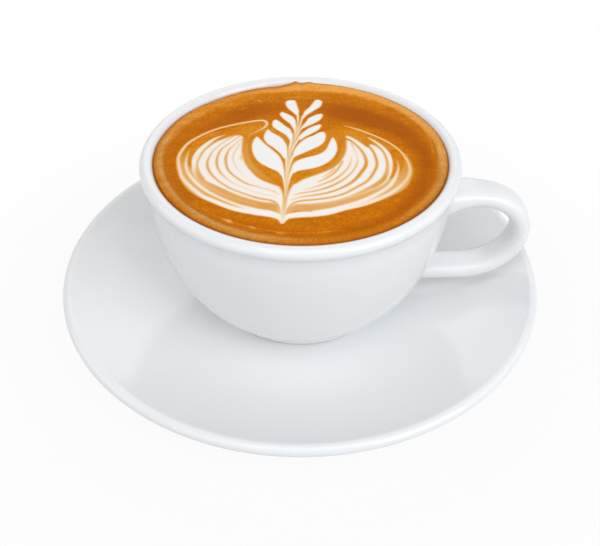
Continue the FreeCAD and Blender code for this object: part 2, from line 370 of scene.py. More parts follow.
# Left fan: the peach bed of its outer bands, then the white fan, then the brown lines on it.
milk.stroke([(-34.4, -1, 0.8, 0.08), (-34.4, -8, 1.6, 0.3), (-32.4, -13, 2.4, 0.36),
             (-28.6, -19, 3.2, 0.38), (-22.5, -24, 3.2, 0.33), (-15, -27.5, 3.0, 0.3),
             (-9.5, -28.4, 2.2, 0.28), (-7, -29.4, 1.2, 0.32), (-5.9, -31, 0.5, 0.4)], 1.0)
milk.patch([(-17.6, 6.6), (-18.6, 7.8), (-20, 7.6), (-22, 6.9), (-25.4, 4.4), (-28.6, 0),
            (-30.4, -4), (-30.6, -8), (-29.7, -12), (-27.2, -15.9), (-24, -18.6),
            (-18, -22.9), (-12, -25.9), (-9, -26.7), (-7.4, -27.1), (-6.2, -28.4),
            (-5.5, -31), (-4.8, -33.4), (-4.75, -30), (-4.65, -26), (-4.85, -23.3),
            (-5.5, -20.4), (-6.5, -18.8), (-9, -17.5), (-12.5, -14.5), (-15.5, -9), (-17, -4),
            (-17.5, 0), (-17.5, 4)], 0.96, 1.3)
milk.stroke([(-23.3, 8.1, 0.1, 0.8), (-26, 6, 0.5, 0.88), (-28, 3.3, 0.75, 0.92),
             (-29.8, 0, 0.9, 0.94), (-31.1, -4, 0.75, 0.92), (-31.1, -8, 0.7, 0.9),
             (-30.6, -12, 0.5, 0.72), (-29.2, -15.5, 0.4, 0.55), (-26, -19.2, 0.35, 0.5),
             (-20, -23.8, 0.3, 0.44), (-12, -27.6, 0.3, 0.4)], 0.8)
for line in (
    [(-21.2, 8.2, 0.4, 0.1), (-23.6, 6, 0.4, 0.2), (-25.9, 4, 0.35, 0.36), (-28.5, 0, 0.3, 0.5),
     (-29.6, -4, 0.3, 0.48), (-30.1, -8, 0.25, 0.56), (-29.2, -12, 0.35, 0.46),
     (-27.8, -15.5, 0.5, 0.42)],
    [(-20, 8, 0.3, 0.5), (-23.2, 4, 0.25, 0.68), (-25.7, 0, 0.25, 0.68),
     (-26.9, -4, 0.3, 0.6), (-27.2, -8, 0.4, 0.5), (-26.1, -12, 0.4, 0.52),
     (-23.7, -16, 0.35, 0.58), (-21, -18.9, 0.35, 0.58), (-18, -21.3, 0.35, 0.62),
     (-12, -24.6, 0.4, 0.46), (-8.3, -25.7, 0.4, 0.4), (-6.6, -27.1, 0.35, 0.42),
     (-5.8, -29.4, 0.25, 0.55), (-5.4, -32, 0.15, 0.75)],
    [(-18.6, 7.4, 0.25, 0.55), (-21, 4, 0.25, 0.66), (-23.6, 0, 0.3, 0.55),
     (-24.5, -4, 0.35, 0.45), (-24.4, -8, 0.4, 0.46), (-23.2, -12, 0.35, 0.62),
     (-20.5, -16, 0.3, 0.74), (-18, -18.3, 0.25, 0.8), (-12, -22.2, 0.2, 0.82),
     (-7, -24, 0.2, 0.85)],
    [(-18.2, 5.6, 0.25, 0.7), (-19.6, 3, 0.25, 0.72), (-21.2, 0, 0.3, 0.62),
     (-22, -4, 0.4, 0.5), (-21.7, -8, 0.4, 0.38), (-20.4, -12, 0.35, 0.43),
     (-17.3, -16, 0.35, 0.6), (-15, -18, 0.3, 0.55), (-12, -19.4, 0.3, 0.72),
     (-8, -21.3, 0.3, 0.76), (-6, -23, 0.2, 0.8)],
    [(-17.8, 4.2, 0.2, 0.82), (-18.9, 1.0, 0.22, 0.74), (-19.8, -2.8, 0.22, 0.72),
     (-19.6, -6.8, 0.22, 0.75), (-18.2, -10.8, 0.2, 0.8), (-16, -14, 0.15, 0.88)],
):
    milk.stroke(pressed(line), 0.75)
milk.stroke([(-17.3, -2.6, 0.2, 0.8), (-17.5, -4.6, 0.5, 0.62), (-17.2, -6.4, 0.2, 0.82)], 1.2)
milk.stroke([(-33.3, -0.5, 0.1, 0.6), (-33.5, -4, 0.3, 0.64), (-33.4, -8, 0.4, 0.78),
             (-32.4, -12, 0.45, 0.82), (-30.3, -16, 0.55, 0.87), (-27.5, -19.8, 0.55, 0.87),
             (-24, -23.1, 0.55, 0.84), (-18, -27.3, 0.55, 0.84), (-12, -30.1, 0.8, 0.94),
             (-8, -31.3, 0.9, 0.97), (-5.8, -32.6, 0.8, 0.95)], 0.8)
milk.stroke([(-16, 6, 0.4, 0.2), (-15.4, 8, 0.35, 0.32), (-13.6, 10, 0.3, 0.52),
             (-11.5, 12.2, 0.35, 0.75), (-10.6, 14.5, 0.35, 0.9), (-11.3, 16.3, 0.35, 0.97),
             (-13.5, 16.6, 0.35, 0.9), (-20, 14.5, 0.35, 0.76), (-27, 11, 0.35, 0.74),
             (-33, 5, 0.4, 0.76), (-35.3, 0, 0.45, 0.78), (-36, -5, 0.45, 0.78),
             (-34.8, -11, 0.45, 0.8), (-33, -16, 0.55, 0.82), (-28, -22.7, 0.65, 0.9),
             (-24, -25.8, 0.75, 0.95), (-18, -29.4, 0.85, 0.96), (-12, -31.1, 1.1, 0.97),
             (-8, -32, 1.1, 0.97), (-5.7, -33.3, 0.9, 0.95), (-4.8, -35.3, 0.5, 0.85)], 0.9)

# Right fan: the same, from the outside in.
milk.stroke([(31, -2, 0.8, 0.1), (31.2, -8, 1.4, 0.2), (30, -13, 2.0, 0.3),
             (27, -17.5, 3.0, 0.4), (22, -21.3, 3.3, 0.38), (15, -25.4, 3.2, 0.37),
             (8, -27.8, 2.6, 0.36), (2, -28.6, 2.0, 0.34), (-1.6, -29.3, 1.3, 0.36),
             (-3.3, -31, 0.5, 0.42)], 1.0)
milk.patch([(14, 7.8), (16.6, 5.9), (18.5, 3.4), (20, 1.6), (21.2, 3.1), (24, 0.4),
            (25.6, -4), (25.8, -8), (24.8, -12), (22.4, -16), (18, -20), (12, -24.5),
            (8, -26.1), (4, -27), (0, -27.4), (-1.6, -27.8), (-3.1, -29.2), (-3.9, -31.2),
            (-4.6, -33.4), (-4.15, -28.6), (-3.8, -25), (-3.3, -22.2), (-2.6, -19.7),
            (-1.6, -17.7), (1, -15.5), (5, -13), (10, -9), (12.5, -4), (13.5, 0), (13.7, 4)],
           0.96, 1.3)
milk.stroke([(20.5, 6.9, 0.2, 0.85), (23, 4, 0.5, 0.9), (25.2, 0, 0.65, 0.95),
             (26.2, -4, 0.65, 0.94), (26.3, -8, 0.55, 0.9), (25.7, -12, 0.5, 0.85),
             (24.2, -16, 0.45, 0.72), (21.5, -19.2, 0.4, 0.62), (15, -23.4, 0.35, 0.55),
             (8, -26.8, 0.3, 0.45), (2, -28, 0.25, 0.42)], 0.8)
for line in (
    [(19.6, 5.4, 0.5, 0.06), (21, 4.9, 0.4, 0.12), (22.4, 3.4, 0.38, 0.26),
     (24.3, -0.3, 0.36, 0.38), (25.1, -4, 0.35, 0.45),
     (25.2, -8, 0.35, 0.45), (24.4, -12, 0.35, 0.48), (23, -15.5, 0.5, 0.44),
     (20.5, -18.8, 0.6, 0.4)],
    [(20, 2.6, 0.5, 0.1), (21.3, 0, 0.4, 0.24), (22.1, -4, 0.45, 0.28),
     (22.2, -8, 0.45, 0.27), (21, -12, 0.45, 0.28), (19, -16, 0.45, 0.34),
     (16.5, -18.6, 0.45, 0.35), (12, -22.5, 0.4, 0.37), (8, -24.3, 0.4, 0.38),
     (4, -25.3, 0.4, 0.4), (0, -26, 0.4, 0.4), (-2.2, -27.3, 0.3, 0.45),
     (-3.5, -29.8, 0.2, 0.55), (-4.1, -32, 0.15, 0.75)],
    [(12.6, 6.4, 0.5, 0.1), (14.3, 5.7, 0.45, 0.1), (16, 3.7, 0.4, 0.28), (17.9, 0, 0.45, 0.36),
     (19, -4, 0.5, 0.32), (19, -8, 0.55, 0.2), (17.4, -12, 0.55, 0.2),
     (15.2, -16, 0.5, 0.25), (12, -19.3, 0.45, 0.31), (8, -21.9, 0.4, 0.36),
     (4, -23.2, 0.35, 0.52), (0, -24.2, 0.3, 0.68), (-2.6, -25.6, 0.2, 0.75)],
    [(15.3, 3.4, 0.2, 0.62), (16, 0, 0.2, 0.74), (16.7, -4, 0.2, 0.78),
     (16.3, -8, 0.3, 0.68), (14.7, -12, 0.3, 0.65), (11.9, -16, 0.35, 0.56),
     (8, -19.3, 0.4, 0.48), (4, -21.3, 0.35, 0.6), (0, -22.4, 0.3, 0.66),
     (-2, -23.4, 0.2, 0.78)],
    [(15, -4, 0.2, 0.78), (14.3, -8, 0.3, 0.7), (12.5, -12, 0.3, 0.62),
     (9.2, -16, 0.35, 0.56), (4, -19.4, 0.3, 0.7), (1, -20.6, 0.2, 0.8)],
    [(12.2, -6.4, 0.3, 0.4), (11.7, -8, 0.3, 0.47), (9.9, -12, 0.35, 0.5),
     (7.5, -14.9, 0.3, 0.56), (5, -17, 0.25, 0.68)],
    [(9.8, -10.2, 0.2, 0.55), (8.2, -12.6, 0.25, 0.62), (6.4, -14.6, 0.2, 0.75)],
):
    milk.stroke(pressed(line), 0.75)
milk.stroke([(28.3, -5, 0.1, 0.42), (28.4, -9, 0.35, 0.62), (27.7, -12, 0.45, 0.76),
             (26.3, -16, 0.55, 0.87), (24, -19.7, 0.6, 0.88), (18, -25, 0.75, 0.92),
             (12, -28.2, 0.75, 0.92), (8, -30, 0.85, 0.95), (4, -31.1, 0.9, 0.97)], 0.8)
milk.stroke([(13.6, 13.7, 0.15, 0.5), (17, 12, 0.3, 0.76), (20, 10, 0.3, 0.8),
             (25, 6, 0.3, 0.78), (29, 1, 0.3, 0.74), (31, -4, 0.35, 0.7),
             (31.7, -9, 0.4, 0.68), (31, -13, 0.45, 0.68), (29.4, -16.5, 0.45, 0.7),
             (27.1, -19.6, 0.55, 0.8), (24, -22.7, 0.65, 0.85), (18, -26.7, 0.75, 0.86),
             (12, -29, 0.9, 0.94), (8, -30.8, 1.0, 0.97), (4, -31.7, 1.1, 0.97),
             (0, -32, 1.2, 0.97), (-3.4, -32.9, 1.0, 0.97), (-4.8, -35.3, 0.5, 0.85)], 0.9)

# The brown moat between the fans and the leaf is paler on the fans' side.
milk.stroke([(-16.6, 6, 0.8, 0.12), (-16.4, 0, 0.8, 0.23), (-15.9, -4, 0.9, 0.24),
             (-14.3, -9, 1.0, 0.26), (-11, -14, 1.0, 0.2), (-8, -16.8, 0.8, 0.12),
             (-6.2, -18.6, 0.4, 0.08)], 1.6)
milk.stroke([(13, 6, 0.6, 0.06), (12.6, 0, 0.6, 0.16), (11.2, -5, 0.7, 0.18),
             (8, -10, 0.7, 0.16), (4, -12.8, 0.6, 0.13), (0.5, -15, 0.5, 0.1),
             (-1.5, -17.5, 0.4, 0.06)], 1.6)

# The leaf: the bed of its stem, its leaflets in pairs from the top, and the tail by which each
# is drawn into the stem. The lines of crema between them run down the stem and fade.
milk.stroke([(-0.2, 21, 0.1, 0.1), (-0.4, 17, 0.5, 0.35), (-0.8, 14, 0.7, 0.45),
             (-1.4, 10, 0.8, 0.52), (-2.2, 5, 0.9, 0.55), (-3.0, 0, 0.85, 0.56),
             (-3.5, -5, 0.75, 0.58), (-3.85, -10, 0.65, 0.62), (-4.0, -15, 0.55, 0.68),
             (-4.1, -20, 0.4, 0.58), (-4.2, -24, 0.3, 0.5), (-4.4, -28, 0.35, 0.55),
             (-4.6, -32, 0.4, 0.72), (-4.8, -35, 0.3, 0.8)], 0.6)
for leaflet in (
    [(-0.5, 18), (-1.2, 19.5), (-2.6, 22), (-4.3, 25), (-5, 28), (-4.4, 29.6), (-3.1, 30),
     (-1.9, 29.5), (-1.2, 26), (-0.6, 22)],
    [(-1.7, 11.4), (-2.25, 11.4), (-3.4, 14.7), (-5.6, 18), (-6.6, 20.5), (-6.2, 22), (-5.2, 21.6),
     (-3, 19.5), (-1.6, 17)],
    [(-2.9, 5.2), (-3.5, 5.4), (-4.7, 8.0), (-7.2, 10.9), (-8.7, 13), (-8.9, 15.5), (-8.2, 17.1),
     (-7, 16.4), (-5, 13.5), (-3.0, 10.5)],
    [(-4.1, -1), (-4.6, -5), (-5.2, -4.6), (-6.1, -2.4), (-8.1, 0.6), (-10, 2.9), (-11.1, 5.5), (-11.2, 8),
     (-10.2, 11.2), (-9, 9.6), (-7, 7.6), (-5, 5.0), (-4.1, 2.5)],
    [(-4.7, -13), (-5.4, -13.8), (-6.8, -11.8), (-9.5, -9.7), (-12.5, -6.5), (-14.2, -2),
     (-14.6, 3), (-13.5, 6.9), (-12.4, 5.6), (-10.9, 3), (-8.8, 0), (-6.7, -3.2), (-5.4, -6.5),
     (-4.9, -10)],
    [(0.5, 18), (0.8, 21), (1.4, 23), (2.8, 25.5), (4, 28.5), (4.7, 30.1), (5.7, 30.4),
     (6.8, 29.4), (6.7, 27.6), (6, 25.5), (4, 23), (2, 20.4), (1, 18.4)],
    [(0.2, 12.6), (0.9, 14.9), (1.9, 17.4), (3.2, 19), (5, 20.5), (6.6, 21), (6.8, 19.5),
     (5.8, 17), (4, 15), (2, 13.2), (0.6, 12)],
    [(-1, 7), (-0.2, 8.6), (1, 10.4), (2.5, 12.1), (4.5, 13.7), (6.1, 14.3), (6.2, 13),
     (5.3, 11), (3.5, 9), (1.5, 7.1), (-0.2, 5.2)],
    [(-2.1, -1), (-1.2, 1.8), (0.2, 4.3), (2, 6.4), (4, 7.9), (5.5, 9.4), (7, 9.9), (7.6, 8),
     (7.2, 4.5), (5.8, 2), (3.5, 0), (1, -2.0), (-1, -3.6), (-2.1, -4.2)],
    [(-2.7, -11), (-2.2, -8.2), (-1, -6.3), (1.2, -4.8), (3.5, -3.8), (5.8, -2.4),
     (7.3, -0.5), (8.2, 2), (9, 5), (9.8, 6.7), (10.7, 4), (10.9, 0), (10, -3.5), (8, -7),
     (5, -9.5), (2, -10.7), (-0.5, -11.5), (-2, -12.7)],
):
    milk.patch(leaflet, 1.0, 0.8)
for tail in (
    [(-0.95, 19, 0.35, 1), (-0.9, 16, 0.25, 0.88), (-1.05, 13, 0.2, 0.78), (-1.3, 10, 0.15, 0.7)],
    [(-1.8, 14, 0.4, 1), (-1.75, 11.5, 0.28, 0.95), (-1.85, 8.7, 0.22, 0.85),
     (-2.2, 5.5, 0.18, 0.75), (-2.6, 2.5, 0.12, 0.65)],
    [(-3.0, 8.5, 0.5, 1), (-2.95, 5.5, 0.35, 0.97), (-3.15, 2.5, 0.25, 0.9),
     (-3.4, -0.5, 0.2, 0.8), (-3.6, -4, 0.12, 0.68)],
    [(-4.6, 0.5, 0.5, 1), (-4.4, -3, 0.38, 1), (-4.25, -6.5, 0.28, 0.9),
     (-4.2, -10, 0.2, 0.8), (-4.2, -14, 0.12, 0.72)],
    [(-5.6, -12, 0.6, 1), (-4.95, -14.5, 0.38, 0.97), (-4.6, -17.5, 0.22, 0.9),
     (-4.4, -21, 0.15, 0.78), (-4.35, -24, 0.1, 0.65)],
    [(0.65, 19.5, 0.3, 1), (0.35, 17.5, 0.25, 0.9), (-0.1, 14.5, 0.22, 0.8),
     (-0.6, 11.5, 0.2, 0.75), (-1.15, 8.7, 0.15, 0.68)],
    [(0.8, 13.7, 0.45, 1), (0.15, 11.9, 0.35, 0.95), (-0.65, 9.2, 0.22, 0.85),
     (-1.4, 6.5, 0.18, 0.78), (-2.1, 3.5, 0.12, 0.68)],
    [(0.1, 7.6, 0.5, 1), (-1.0, 4.8, 0.32, 0.95), (-1.95, 1.6, 0.25, 0.88),
     (-2.6, -1, 0.18, 0.8), (-3.1, -4, 0.12, 0.68)],
    [(-1.6, -2.8, 0.5, 1), (-2.4, -4.8, 0.35, 0.97), (-2.9, -7.3, 0.25, 0.9),
     (-3.3, -10, 0.2, 0.8), (-3.6, -13.5, 0.12, 0.7)],
    [(-2.3, -11.5, 0.55, 1), (-2.95, -14, 0.38, 0.97), (-3.35, -17, 0.25, 0.9),
     (-3.65, -20.5, 0.15, 0.8), (-3.9, -24, 0.1, 0.65)],
):
    milk.stroke(tail, 0.5)
for gap in (
    [(-0.35, 21.5, 0.4, 0.03), (-0.4, 18.3, 0.25, 0.1), (-0.6, 15, 0.18, 0.25),
     (-0.9, 12.5, 0.12, 0.42)],
    [(-2.0, 18.8, 0.3, 0.02), (-1.4, 16, 0.2, 0.15), (-1.42, 13.3, 0.14, 0.35),
     (-1.6, 10.6, 0.08, 0.5)],
    [(-3.2, 12.3, 0.25, 0.04), (-2.3, 9.7, 0.2, 0.12), (-2.2, 7, 0.16, 0.28),
     (-2.4, 4, 0.1, 0.42), (-2.8, 1, 0.06, 0.55)],
    [(-5.0, 5.0, 0.25, 0.08), (-4.15, 2.4, 0.2, 0.15), (-3.8, -0.9, 0.16, 0.3),
     (-3.85, -4, 0.1, 0.45)],
    [(-5.6, -4.9, 0.25, 0.08), (-4.95, -7.5, 0.22, 0.15), (-4.6, -10.2, 0.16, 0.3),
     (-4.5, -12.5, 0.12, 0.42), (-4.35, -16, 0.08, 0.55)],
    [(1.6, 17.1, 0.45, 0.02), (1.0, 15.2, 0.28, 0.04), (0.3, 13.3, 0.18, 0.18),
     (-0.3, 11.4, 0.13, 0.35), (-0.8, 9.4, 0.08, 0.5)],
    [(1.6, 11.6, 0.35, 0.05), (0.3, 9.4, 0.25, 0.12), (-0.7, 7.2, 0.18, 0.22),
     (-1.65, 4.5, 0.12, 0.38), (-2.2, 2.2, 0.08, 0.5)],
    [(1.1, 6.1, 0.25, 0.08), (-0.4, 3.8, 0.22, 0.12), (-1.85, 0.2, 0.2, 0.2),
     (-2.5, -2.5, 0.14, 0.34), (-3.05, -4.8, 0.1, 0.48)],
    [(0.6, -4.0, 0.4, 0.05), (-1.1, -5.2, 0.3, 0.1), (-2.2, -7, 0.22, 0.2),
     (-2.8, -9.4, 0.16, 0.34), (-3.1, -12, 0.12, 0.45), (-3.45, -15.5, 0.08, 0.55)],
):
    milk.stroke(gap, 0.5)

# Threads and flecks of milk that lie away from the leaf. The pale flecks in front are partly
# milk and partly painted glints on small bubbles.
for fleck, soft in (
    ([(1.2, 26, 0.2, 0.02), (0.9, 30, 0.3, 0.08), (0.9, 34, 0.3, 0.09), (1.0, 38, 0.3, 0.05)], 0.9),
    ([(-14.5, 30.1, 0.25, 0.14), (-13.4, 29.5, 0.45, 0.34), (-12.9, 29.1, 0.25, 0.2)], 1.0),
    # Partly painted glints: the pale flecks in front, on small bubbles of the foam.
    ([(-21.1, -33.6, 0.2, 0.14), (-19.9, -34.3, 0.4, 0.28), (-19.0, -34.8, 0.5, 0.38),
      (-18.1, -35.6, 0.25, 0.2)], 1.0),
    ([(-13.7, -36.9, 0.2, 0.12), (-12.6, -37.6, 0.4, 0.26), (-11.6, -38.2, 0.2, 0.14)], 1.0),
    ([(-10.8, -37.7, 0.2, 0.08), (-10.0, -38.1, 0.25, 0.1)], 0.9),
    ([(-6.6, -39.5, 0.2, 0.08), (-5.2, -39.8, 0.35, 0.18), (-3.6, -40.1, 0.2, 0.08)], 0.9),
):
    milk.stroke(fleck, soft)

# The crema: 0.5 is its usual brown, 1 the pale froth that climbs the wall, and 0 the darkest.
crema = Paint(points[:, :2], 0.5)
crema.patch([(-34, 0), (-29, 9), (-20, 13.5), (-12, 15.5), (-8, 12), (-4, 8), (0, 6), (6, 9),
             (10, 12), (16, 11), (24, 6), (30, -2), (31, -12), (25, -21), (10, -28), (-5, -31),
             (-20, -27), (-31, -17)], 0.68, 3.0)
crema.stroke([(-25, -33, 1.0, 0.3), (0, -41, 1.4, 0.25), (15, -38.2, 1.8, 0.2),
              (26, -31.5, 2.0, 0.15), (33, -22, 2.3, 0.1), (36.5, -11, 2.2, 0.1),
              (36.6, 0, 2.2, 0.12), (31, 11, 3.5, 0.12), (22, 18, 4.5, 0.08),
              (13, 22.5, 4.5, 0.1), (6.5, 25.5, 3.0, 0.35)], 4.0)
crema.stroke([(-8, 25, 3.0, 0.3), (-17, 22, 4.0, 0.22), (-26, 14.5, 2.5, 0.32),
              (-34, 8, 2.2, 0.4), (-38, 0, 2, 0.42), (-37.5, -12, 2, 0.4),
              (-31, -24, 2, 0.36)], 3.5)
# Paler towards the back: partly the crema's own tone and partly painted sheen.
crema.stroke([(8, 33, 2.0, 0.56), (0, 33, 2.0, 0.62), (-14, 32, 1.5, 0.58),
              (-24, 26, 1.5, 0.62)], 3.0)
crema.stroke([(-29, 24, 1.2, 0.64), (-19, 32, 1.5, 0.68), (-10, 37, 2.2, 0.74),
              (0, 38.8, 2.6, 0.78), (10, 38.2, 2.4, 0.8), (20, 34, 1.8, 0.76),
              (28, 28, 1.2, 0.7)], 5.0)

# Froth climbs the wall all round, thick and orange at the back, thin and tan in front; the pale
# back and the tan front are partly froth and partly painted sheen. The columns: degrees round
# the wall, the radius of the band's middle, half its width, its tone, and its tan and sheen.
TAN_AND_SHEEN_EDGE = 0.6
dry = Paint(points[:, :2], 0.0)
rim_froth, rim_tan_and_sheen = [], []
for degrees, middle, half, value, tan_and_sheen_level in (
    (0, 42.0, 1.5, 0.93, 0.7), (20, 41.8, 1.8, 0.96, 0.5), (40, 41.4, 2.1, 0.99, 0.3),
    (60, 41.0, 2.3, 1.00, 0.1), (80, 39.9, 2.8, 1.00, 0.0), (100, 38.4, 1.9, 0.93, 0.0),
    (120, 39.8, 1.8, 0.86, 0.0), (140, 39.9, 3.0, 0.76, 0.1), (160, 40.6, 2.0, 0.84, 0.4),
    (180, 41.8, 0.9, 0.98, 0.9), (200, 41.7, 0.9, 0.95, 1.0), (220, 41.8, 0.8, 0.88, 1.0),
    (240, 42.1, 0.9, 0.93, 1.0), (260, 42.3, 0.8, 0.84, 0.9), (280, 42.6, 0.4, 0.60, 0.5),
    (300, 42.6, 0.3, 0.55, 0.3), (320, 42.4, 0.7, 0.76, 0.8), (340, 42.5, 0.8, 0.80, 1.0),
):
    at = math.radians(degrees)
    rim_froth.append((middle * math.cos(at), middle * math.sin(at), half, value))
    rim_tan_and_sheen.append((middle * math.cos(at), middle * math.sin(at), half + TAN_AND_SHEEN_EDGE, tan_and_sheen_level))
crema.stroke(rim_froth, 2.4, True)
dry.stroke(rim_tan_and_sheen, 1.6, True)

# Pale and dark arcs left where the foam has slid along the wall, and one pale streak farther
# in: degrees at each end, radius at each end, half the width, and the tone.
for start, end, first_reach, last_reach, half, value in (
    (228, 286, 39.7, 39.8, 0.26, 0.68), (184, 268, 40.4, 41.4, 0.32, 0.28),
    (266, 284, 40.8, 40.9, 0.22, 0.30), (316, 332, 41.2, 41.1, 0.25, 0.30),
    (334, 346, 39.9, 38.4, 0.24, 0.32), (350, 370, 40.3, 40.5, 0.25, 0.30),
    (356, 372, 39.3, 39.8, 0.24, 0.62), (373, 386, 39.4, 39.3, 0.22, 0.34),
    (156, 168, 38.9, 40.3, 0.30, 0.64), (124, 130, 30.4, 30.9, 0.35, 0.72),
):
    arc = []
    for way in np.linspace(0.0, 1.0, 7):
        at = math.radians(start + (end - start) * way)
        reach = first_reach + (last_reach - first_reach) * way
        width = half * math.sin(0.3 + (math.pi - 0.6) * way)
        arc.append((reach * math.cos(at), reach * math.sin(at), width, value))
    crema.stroke(arc, 0.8)

foam_mesh = bpy.data.meshes.new("coffee_foam")
foam_mesh.from_pydata((points / 1000).tolist(), [], [tuple(map(int, face)) for face in faces])
for name, painted in (("milk", milk), ("crema", crema), ("dry", dry)):
    layer = foam_mesh.attributes.new(name, "FLOAT", "POINT")
    layer.data.foreach_set("value", painted.value.astype(np.float32))

# A thin line of painted shade where the foam meets the porcelain.
# It reaches farther in at the back.
SHADE_LINE_RADIUS, SHADE_LINE_FARTHER_IN, SHADE_LINE_WIDTH = 43.25, 0.75, 0.6
contact = foam_mesh.attributes.new("contact", "FLOAT", "POINT")
below_top = np.ones(len(points) - len(top))
shade_line_from = SHADE_LINE_RADIUS - SHADE_LINE_FARTHER_IN * smooth(np.sin(angle), 0.2, 0.8)
near_wall = smooth(ring_radius - shade_line_from, 0.0, SHADE_LINE_WIDTH)
near_wall = np.concatenate([near_wall, below_top])
contact.data.foreach_set("value", near_wall.astype(np.float32))
foam_mesh.polygons.foreach_set("use_smooth", [True] * len(foam_mesh.polygons))
foam_mesh.update()
foam = bpy.data.objects.new("coffee_foam", foam_mesh)
bpy.context.scene.collection.objects.link(foam)

CONTACT_SHADE_COLOUR = tone(142, 80, 32)
FOAM_IOR = 1.34
shader = Shader("crema")
place = shader.place()
white = shader.painted("milk")
brown = shader.painted("crema")
tan_and_sheen_share = shader.painted("dry")
contact_shade = shader.painted("contact")
clouds = shader.noise(place, 130.0, 4.0, 0.6)
mottle = shader.noise(place, 1300.0, 4.0, 0.7)
streak_place = shader.add("ShaderNodeMapping", {}, {"Vector": place, "Scale": (0.25, 1.0, 1.0)})
streaks = shader.noise(streak_place, 420.0, 3.0, 0.55)
browned = brown + 0.3 * (clouds - 0.5) + 0.9 * (mottle - 0.5) + 0.4 * (streaks - 0.5)
crema_colour = shader.add("ShaderNodeValToRGB", {"stops": [
    (0.0, tone(174, 88, 12)), (0.25, tone(187, 99, 12)), (0.5, tone(202, 113, 11)),
    (0.65, tone(219, 131, 16)), (0.8, tone(232, 149, 46)),
    (1.0, tone(250, 174, 84)),
]}, {"Fac": browned})
# Partly painted sheen: the duller tan that the froth band takes on in front.
tan_and_sheen_colour = shader.add("ShaderNodeValToRGB", {"stops": [
    (0.0, tone(174, 98, 22)), (0.5, tone(190, 118, 38)), (0.8, tone(206, 140, 64)),
    (1.0, tone(222, 160, 90)),
]}, {"Fac": browned})
crema_colour = shader.blend(tan_and_sheen_share, crema_colour, tan_and_sheen_colour)
milk_colour = shader.add("ShaderNodeValToRGB", {"stops": [
    (0.0, tone(201, 114, 16)), (0.08, tone(218, 136, 32)), (0.23, tone(227, 156, 68)),
    (0.5, tone(240, 191, 130)), (0.76, tone(250, 224, 192)), (0.9, tone(251, 238, 222)),
    (1.0, tone(250, 248, 247)),
]}, {"Fac": white + 0.06 * (mottle - 0.5)})
colour = shader.blend(white.step(0.0, 0.12), crema_colour, milk_colour)
# Painted shade: the dark line along the foam's edge against the wall.
colour = shader.blend(0.75 * contact_shade, colour, (*CONTACT_SHADE_COLOUR, 1.0))
pits = shader.add("ShaderNodeTexVoronoi", {"feature": "F1"}, {"Vector": place, "Scale": 1600.0})
relief = 0.00003 * mottle + 0.00002 * pits
normal = shader.add("ShaderNodeBump", {}, {"Height": relief, "Strength": 0.5, "Distance": 1.0})
surface = shader.add("ShaderNodeBsdfPrincipled", {}, {
    "Base Color": colour, "Roughness": 0.42 + 0.12 * mottle, "Normal": normal,
    "IOR": FOAM_IOR, "Specular IOR Level": 0.02})
crema_material = shader.finish(surface)
foam_mesh.materials.append(crema_material)

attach(foam, "root")
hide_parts("coffee")


# ---- Bubbles --------------------------------------------------------------------------------
# Coarser froth is pushed to the wall, where a few bubbles stay open in the crema, most of them
# on the far side where the pour began and by the pale flecks in front.

froth = Paint(points[:, :2], 0.0)
for radius, share, degrees in ((42.6, 1.0, (74, 80, 86, 92, 98, 104)),
                               (42.6, 0.6, (108, 122, 136, 150)), (42.9, 0.3, (18, 32, 46, 60)),
                               (41.9, 0.3, (228, 242, 256))):
    turns = [math.radians(d) for d in degrees]
    froth.stroke([(radius * math.cos(t), radius * math.sin(t), 0.5, share) for t in turns], 1.2)
froth.stroke([(-21, -33, 0.5, 0.3), (-18.8, -34.4, 0.5, 0.3)], 1.5)
froth.value[len(top):] = 0.0
layer = foam_mesh.attributes.new("froth", "FLOAT", "POINT")
layer.data.foreach_set("value", froth.value.astype(np.float32))

shader = Shader("bubble_film")
place = shader.place()
film = shader.blend(
    shader.noise(place, 1200.0), (*tone(190, 104, 20), 1.0), (*tone(232, 160, 84), 1.0))
bubble_film = shader.finish(shader.add("ShaderNodeBsdfPrincipled", {}, {
    "Base Color": film, "Roughness": 0.12 + 0.1 * shader.noise(place, 2000.0), "IOR": FOAM_IOR}))

group = bpy.data.node_groups.new("rim_bubbles", "GeometryNodeTree")
nodes = Nodes(group)
inputs = {}
for name, kind in (("Foam", "Geometry"), ("Density", "Float"), ("Smallest", "Float"),
                   ("Largest", "Float"), ("Seed", "Int")):
    inputs[name] = group.interface.new_socket(
        name, in_out="INPUT", socket_type="NodeSocket" + kind).identifier
group.interface.new_socket("Bubbles", in_out="OUTPUT", socket_type="NodeSocketGeometry")
given = {name: nodes.add("NodeGroupInput", {}, {}, name) for name in inputs}
share = nodes.add(
    "GeometryNodeInputNamedAttribute", {"data_type": "FLOAT"}, {"Name": "froth"}, "Attribute")
spots = nodes.add("GeometryNodeDistributePointsOnFaces", {}, {
    "Mesh": given["Foam"], "Density": share * given["Density"], "Seed": given["Seed"]})
BUBBLE_HEIGHT = 0.45         # of its half width, because it sits sunk in the foam
ball = nodes.add("GeometryNodeMeshUVSphere", {}, {"Segments": 10, "Rings": 6, "Radius": 1.0})
size = nodes.add("FunctionNodeRandomValue", {"data_type": "FLOAT"}, {
    2: given["Smallest"], 3: given["Largest"], "Seed": given["Seed"]}, 1)
balls = nodes.add("GeometryNodeInstanceOnPoints", {}, {
    "Points": spots, "Instance": ball, "Scale": size.vector(1.0, 1.0, BUBBLE_HEIGHT)})
balls = nodes.add("GeometryNodeRealizeInstances", {}, {"Geometry": balls})
balls = nodes.add("GeometryNodeSetShadeSmooth", {}, {"Geometry": balls})
balls = nodes.add("GeometryNodeSetMaterial", {}, {"Geometry": balls, "Material": bubble_film})
nodes.add("NodeGroupOutput", {}, {"Bubbles": balls})

